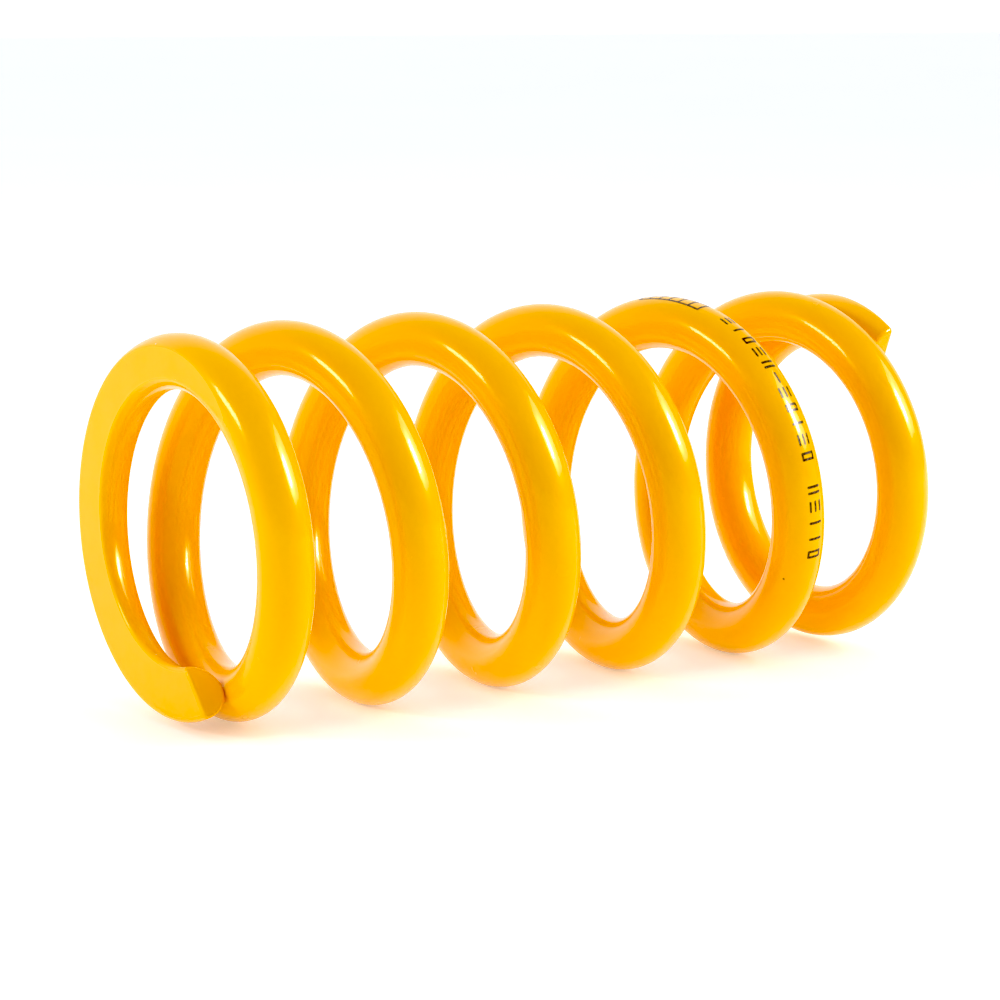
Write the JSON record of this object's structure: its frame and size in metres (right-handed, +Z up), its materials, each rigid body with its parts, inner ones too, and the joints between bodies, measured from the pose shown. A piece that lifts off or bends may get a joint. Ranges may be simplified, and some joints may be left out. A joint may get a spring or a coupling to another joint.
{
  "type": "coil spring",
  "caption": "Closed and ground helical compression spring wound from round bar, powder-coated, that shortens along its axis under load between two flat seats.",
  "frame": {"origin": "centre of the front ground end, on the winding axis, in the plane of the front seat", "axes": "+X along the winding axis from the front seat to the rear seat, +Z up with the spring lying on its side, +Y to the left when looking from the front seat to the rear seat"},
  "size_m": [0.1661, 0.0778, 0.0778],
  "materials": {
    "powder_coat": "gloss yellow-orange powder coat on spring steel"
  },
  "bodies": {
    "front_end": {"front_ground_turn": "powder_coat", "front_closing_wire": "powder_coat"},
    "active_wire_01": {"active_wire_01": "powder_coat"},
    "active_wire_02": {"active_wire_02": "powder_coat"},
    "active_wire_03": {"active_wire_03": "powder_coat"},
    "active_wire_04": {"active_wire_04": "powder_coat"},
    "active_wire_05": {"active_wire_05": "powder_coat"},
    "active_wire_06": {"active_wire_06": "powder_coat"},
    "active_wire_07": {"active_wire_07": "powder_coat"},
    "active_wire_08": {"active_wire_08": "powder_coat"},
    "active_wire_09": {"active_wire_09": "powder_coat"},
    "active_wire_10": {"active_wire_10": "powder_coat"},
    "active_wire_11": {"active_wire_11": "powder_coat"},
    "active_wire_12": {"active_wire_12": "powder_coat"},
    "active_wire_13": {"active_wire_13": "powder_coat"},
    "active_wire_14": {"active_wire_14": "powder_coat"},
    "active_wire_15": {"active_wire_15": "powder_coat"},
    "active_wire_16": {"active_wire_16": "powder_coat"},
    "active_wire_17": {"active_wire_17": "powder_coat"},
    "active_wire_18": {"active_wire_18": "powder_coat"},
    "active_wire_19": {"active_wire_19": "powder_coat"},
    "active_wire_20": {"active_wire_20": "powder_coat"},
    "active_wire_21": {"active_wire_21": "powder_coat"},
    "active_wire_22": {"active_wire_22": "powder_coat"},
    "active_wire_23": {"active_wire_23": "powder_coat"},
    "active_wire_24": {"active_wire_24": "powder_coat"},
    "active_wire_25": {"active_wire_25": "powder_coat"},
    "active_wire_26": {"active_wire_26": "powder_coat"},
    "rear_end": {"rear_ground_turn": "powder_coat", "rear_closing_wire": "powder_coat"}
  },
  "joints": [
    {"name": "compress", "type": "slide", "parent": "front_end", "child": "rear_end", "axis": [1, 0, 0], "range_m": [-0.085, 0], "stiffness_N_per_m": 90000},
    {"name": "flex_wire_01", "type": "slide", "parent": "front_end", "child": "active_wire_01", "axis": [1, 0, 0], "range_m": [-0.00327, 0]},
    {"name": "flex_wire_02", "type": "slide", "parent": "active_wire_01", "child": "active_wire_02", "axis": [1, 0, 0], "range_m": [-0.00327, 0]},
    {"name": "flex_wire_03", "type": "slide", "parent": "active_wire_02", "child": "active_wire_03", "axis": [1, 0, 0], "range_m": [-0.00327, 0]},
    {"name": "flex_wire_04", "type": "slide", "parent": "active_wire_03", "child": "active_wire_04", "axis": [1, 0, 0], "range_m": [-0.00327, 0]},
    {"name": "flex_wire_05", "type": "slide", "parent": "active_wire_04", "child": "active_wire_05", "axis": [1, 0, 0], "range_m": [-0.00327, 0]},
    {"name": "flex_wire_06", "type": "slide", "parent": "active_wire_05", "child": "active_wire_06", "axis": [1, 0, 0], "range_m": [-0.00327, 0]},
    {"name": "flex_wire_07", "type": "slide", "parent": "active_wire_06", "child": "active_wire_07", "axis": [1, 0, 0], "range_m": [-0.00327, 0]},
    {"name": "flex_wire_08", "type": "slide", "parent": "active_wire_07", "child": "active_wire_08", "axis": [1, 0, 0], "range_m": [-0.00327, 0]},
    {"name": "flex_wire_09", "type": "slide", "parent": "active_wire_08", "child": "active_wire_09", "axis": [1, 0, 0], "range_m": [-0.00327, 0]},
    {"name": "flex_wire_10", "type": "slide", "parent": "active_wire_09", "child": "active_wire_10", "axis": [1, 0, 0], "range_m": [-0.00327, 0]},
    {"name": "flex_wire_11", "type": "slide", "parent": "active_wire_10", "child": "active_wire_11", "axis": [1, 0, 0], "range_m": [-0.00327, 0]},
    {"name": "flex_wire_12", "type": "slide", "parent": "active_wire_11", "child": "active_wire_12", "axis": [1, 0, 0], "range_m": [-0.00327, 0]},
    {"name": "flex_wire_13", "type": "slide", "parent": "active_wire_12", "child": "active_wire_13", "axis": [1, 0, 0], "range_m": [-0.00327, 0]},
    {"name": "flex_wire_26", "type": "slide", "parent": "rear_end", "child": "active_wire_26", "axis": [1, 0, 0], "range_m": [0, 0.00327]},
    {"name": "flex_wire_25", "type": "slide", "parent": "active_wire_26", "child": "active_wire_25", "axis": [1, 0, 0], "range_m": [0, 0.00327]},
    {"name": "flex_wire_24", "type": "slide", "parent": "active_wire_25", "child": "active_wire_24", "axis": [1, 0, 0], "range_m": [0, 0.00327]},
    {"name": "flex_wire_23", "type": "slide", "parent": "active_wire_24", "child": "active_wire_23", "axis": [1, 0, 0], "range_m": [0, 0.00327]},
    {"name": "flex_wire_22", "type": "slide", "parent": "active_wire_23", "child": "active_wire_22", "axis": [1, 0, 0], "range_m": [0, 0.00327]},
    {"name": "flex_wire_21", "type": "slide", "parent": "active_wire_22", "child": "active_wire_21", "axis": [1, 0, 0], "range_m": [0, 0.00327]},
    {"name": "flex_wire_20", "type": "slide", "parent": "active_wire_21", "child": "active_wire_20", "axis": [1, 0, 0], "range_m": [0, 0.00327]},
    {"name": "flex_wire_19", "type": "slide", "parent": "active_wire_20", "child": "active_wire_19", "axis": [1, 0, 0], "range_m": [0, 0.00327]},
    {"name": "flex_wire_18", "type": "slide", "parent": "active_wire_19", "child": "active_wire_18", "axis": [1, 0, 0], "range_m": [0, 0.00327]},
    {"name": "flex_wire_17", "type": "slide", "parent": "active_wire_18", "child": "active_wire_17", "axis": [1, 0, 0], "range_m": [0, 0.00327]},
    {"name": "flex_wire_16", "type": "slide", "parent": "active_wire_17", "child": "active_wire_16", "axis": [1, 0, 0], "range_m": [0, 0.00327]},
    {"name": "flex_wire_15", "type": "slide", "parent": "active_wire_16", "child": "active_wire_15", "axis": [1, 0, 0], "range_m": [0, 0.00327]},
    {"name": "flex_wire_14", "type": "slide", "parent": "active_wire_15", "child": "active_wire_14", "axis": [1, 0, 0], "range_m": [0, 0.00327]}
  ],
  "couplings": [
    {"joint": "flex_wire_01", "follows": "compress", "ratio": 0.038462},
    {"joint": "flex_wire_02", "follows": "compress", "ratio": 0.038462},
    {"joint": "flex_wire_03", "follows": "compress", "ratio": 0.038462},
    {"joint": "flex_wire_04", "follows": "compress", "ratio": 0.038462},
    {"joint": "flex_wire_05", "follows": "compress", "ratio": 0.038462},
    {"joint": "flex_wire_06", "follows": "compress", "ratio": 0.038462},
    {"joint": "flex_wire_07", "follows": "compress", "ratio": 0.038462},
    {"joint": "flex_wire_08", "follows": "compress", "ratio": 0.038462},
    {"joint": "flex_wire_09", "follows": "compress", "ratio": 0.038462},
    {"joint": "flex_wire_10", "follows": "compress", "ratio": 0.038462},
    {"joint": "flex_wire_11", "follows": "compress", "ratio": 0.038462},
    {"joint": "flex_wire_12", "follows": "compress", "ratio": 0.038462},
    {"joint": "flex_wire_13", "follows": "compress", "ratio": 0.038462},
    {"joint": "flex_wire_26", "follows": "compress", "ratio": -0.038462},
    {"joint": "flex_wire_25", "follows": "compress", "ratio": -0.038462},
    {"joint": "flex_wire_24", "follows": "compress", "ratio": -0.038462},
    {"joint": "flex_wire_23", "follows": "compress", "ratio": -0.038462},
    {"joint": "flex_wire_22", "follows": "compress", "ratio": -0.038462},
    {"joint": "flex_wire_21", "follows": "compress", "ratio": -0.038462},
    {"joint": "flex_wire_20", "follows": "compress", "ratio": -0.038462},
    {"joint": "flex_wire_19", "follows": "compress", "ratio": -0.038462},
    {"joint": "flex_wire_18", "follows": "compress", "ratio": -0.038462},
    {"joint": "flex_wire_17", "follows": "compress", "ratio": -0.038462},
    {"joint": "flex_wire_16", "follows": "compress", "ratio": -0.038462},
    {"joint": "flex_wire_15", "follows": "compress", "ratio": -0.038462},
    {"joint": "flex_wire_14", "follows": "compress", "ratio": -0.038462}
  ]
}
